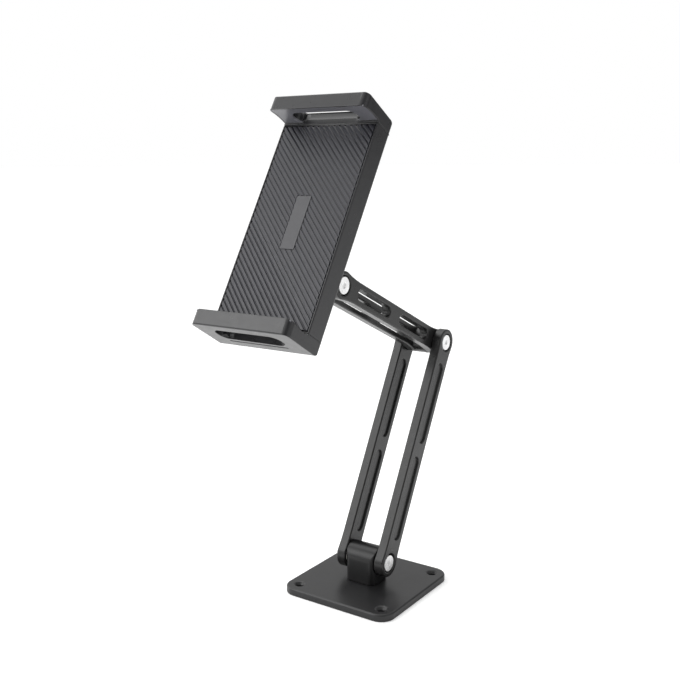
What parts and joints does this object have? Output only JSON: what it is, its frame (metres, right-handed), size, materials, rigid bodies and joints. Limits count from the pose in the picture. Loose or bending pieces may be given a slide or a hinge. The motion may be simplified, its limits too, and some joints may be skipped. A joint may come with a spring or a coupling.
{
  "type": "wall tablet mount",
  "caption": "Folding tablet mount: square screw-down plate, twin flat arms on friction pivots, and a ball-jointed holder with spring-loaded jaws.",
  "frame": {"origin": "centre of the underside of the square base plate, the face that lies on the wall or desk", "axes": "+Z out of the base plate, X along the hinge axes, -Y towards the user, with the arms in the plane X = 0"},
  "size_m": [0.1, 0.2546, 0.3871],
  "materials": {
    "powder_coat": "fine satin powder coat",
    "black_anodised": "satin black anodised",
    "bright_steel": "turned, bright",
    "screw_steel": "plain",
    "polished_steel": "ground",
    "nylon": "moulded nylon",
    "soft_rubber": "ribbed, matte",
    "label": "bare, matte",
    "moulded_black": "fine moulded grain"
  },
  "bodies": {
    "base": {"base_plate": "powder_coat", "pivot_block": "powder_coat", "block_screws": "screw_steel"},
    "lower_arm": {"lower_bar_left": "black_anodised", "lower_bar_right": "black_anodised", "base_bolt": "bright_steel", "base_nut": "bright_steel", "base_washers": "nylon", "elbow_bolt": "bright_steel", "elbow_nut": "bright_steel", "elbow_washers": "nylon"},
    "upper_arm": {"upper_bar_left": "black_anodised", "upper_bar_right": "black_anodised", "elbow_spacer": "black_anodised", "head_bolt": "bright_steel", "head_nut": "bright_steel", "head_washers": "nylon"},
    "head": {"head_knuckle": "black_anodised", "ball_stud": "polished_steel"},
    "seat": {"ball_seat": "nylon"},
    "collet": {"ball_collet": "nylon"},
    "holder": {"holder_frame": "moulded_black", "back_cover": "moulded_black", "cover_screws": "screw_steel", "grip_pad": "soft_rubber", "label_plate": "label", "guide_bushes": "nylon", "top_springs": "polished_steel", "bottom_springs": "polished_steel"},
    "ring": {"lock_ring": "moulded_black"},
    "upper_jaw": {"top_jaw": "moulded_black", "top_liner": "soft_rubber", "top_rods": "polished_steel", "top_collars": "polished_steel"},
    "lower_jaw": {"bottom_jaw": "moulded_black", "bottom_liner": "soft_rubber", "bottom_rods": "polished_steel", "bottom_collars": "polished_steel"}
  },
  "joints": [
    {"name": "base_hinge", "type": "hinge", "parent": "base", "child": "lower_arm", "pos_m": [0, 0, 0.0242], "axis": [1, 0, 0], "range_deg": [-60, 115]},
    {"name": "elbow_hinge", "type": "hinge", "parent": "lower_arm", "child": "upper_arm", "pos_m": [0, 0.09076, 0.18998], "axis": [-1, 0, 0], "range_deg": [-45, 175]},
    {"name": "head_hinge", "type": "hinge", "parent": "upper_arm", "child": "head", "pos_m": [0, -0.04846, 0.25343], "axis": [1, 0, 0], "range_deg": [-60, 95]},
    {"name": "ball_tilt", "type": "hinge", "parent": "head", "child": "seat", "pos_m": [0, -0.06314, 0.2852], "axis": [-1, 0, 0], "range_deg": [-2, 70]},
    {"name": "ball_pan", "type": "hinge", "parent": "seat", "child": "collet", "pos_m": [0, -0.06314, 0.2852], "axis": [0, 0.524, 0.8517], "range_deg": [-27, 27]},
    {"name": "holder_spin", "type": "hinge", "parent": "collet", "child": "holder", "pos_m": [0, -0.06314, 0.2852], "axis": [0, 0.8517, -0.524], "continuous": true},
    {"name": "lock_ring_turn", "type": "hinge", "parent": "holder", "child": "ring", "pos_m": [0, -0.06314, 0.2852], "axis": [0, 0.8517, -0.524], "range_deg": [0, 180]},
    {"name": "top_jaw_slide", "type": "slide", "parent": "holder", "child": "upper_jaw", "axis": [0, 0.524, 0.8517], "range_m": [0, 0.033], "stiffness_N_per_m": 600, "springref_m": -0.01, "deforming": ["top_springs"]},
    {"name": "bottom_jaw_slide", "type": "slide", "parent": "holder", "child": "lower_jaw", "axis": [0, -0.524, -0.8517], "range_m": [0, 0.033], "stiffness_N_per_m": 600, "springref_m": -0.01, "deforming": ["bottom_springs"]}
  ]
}
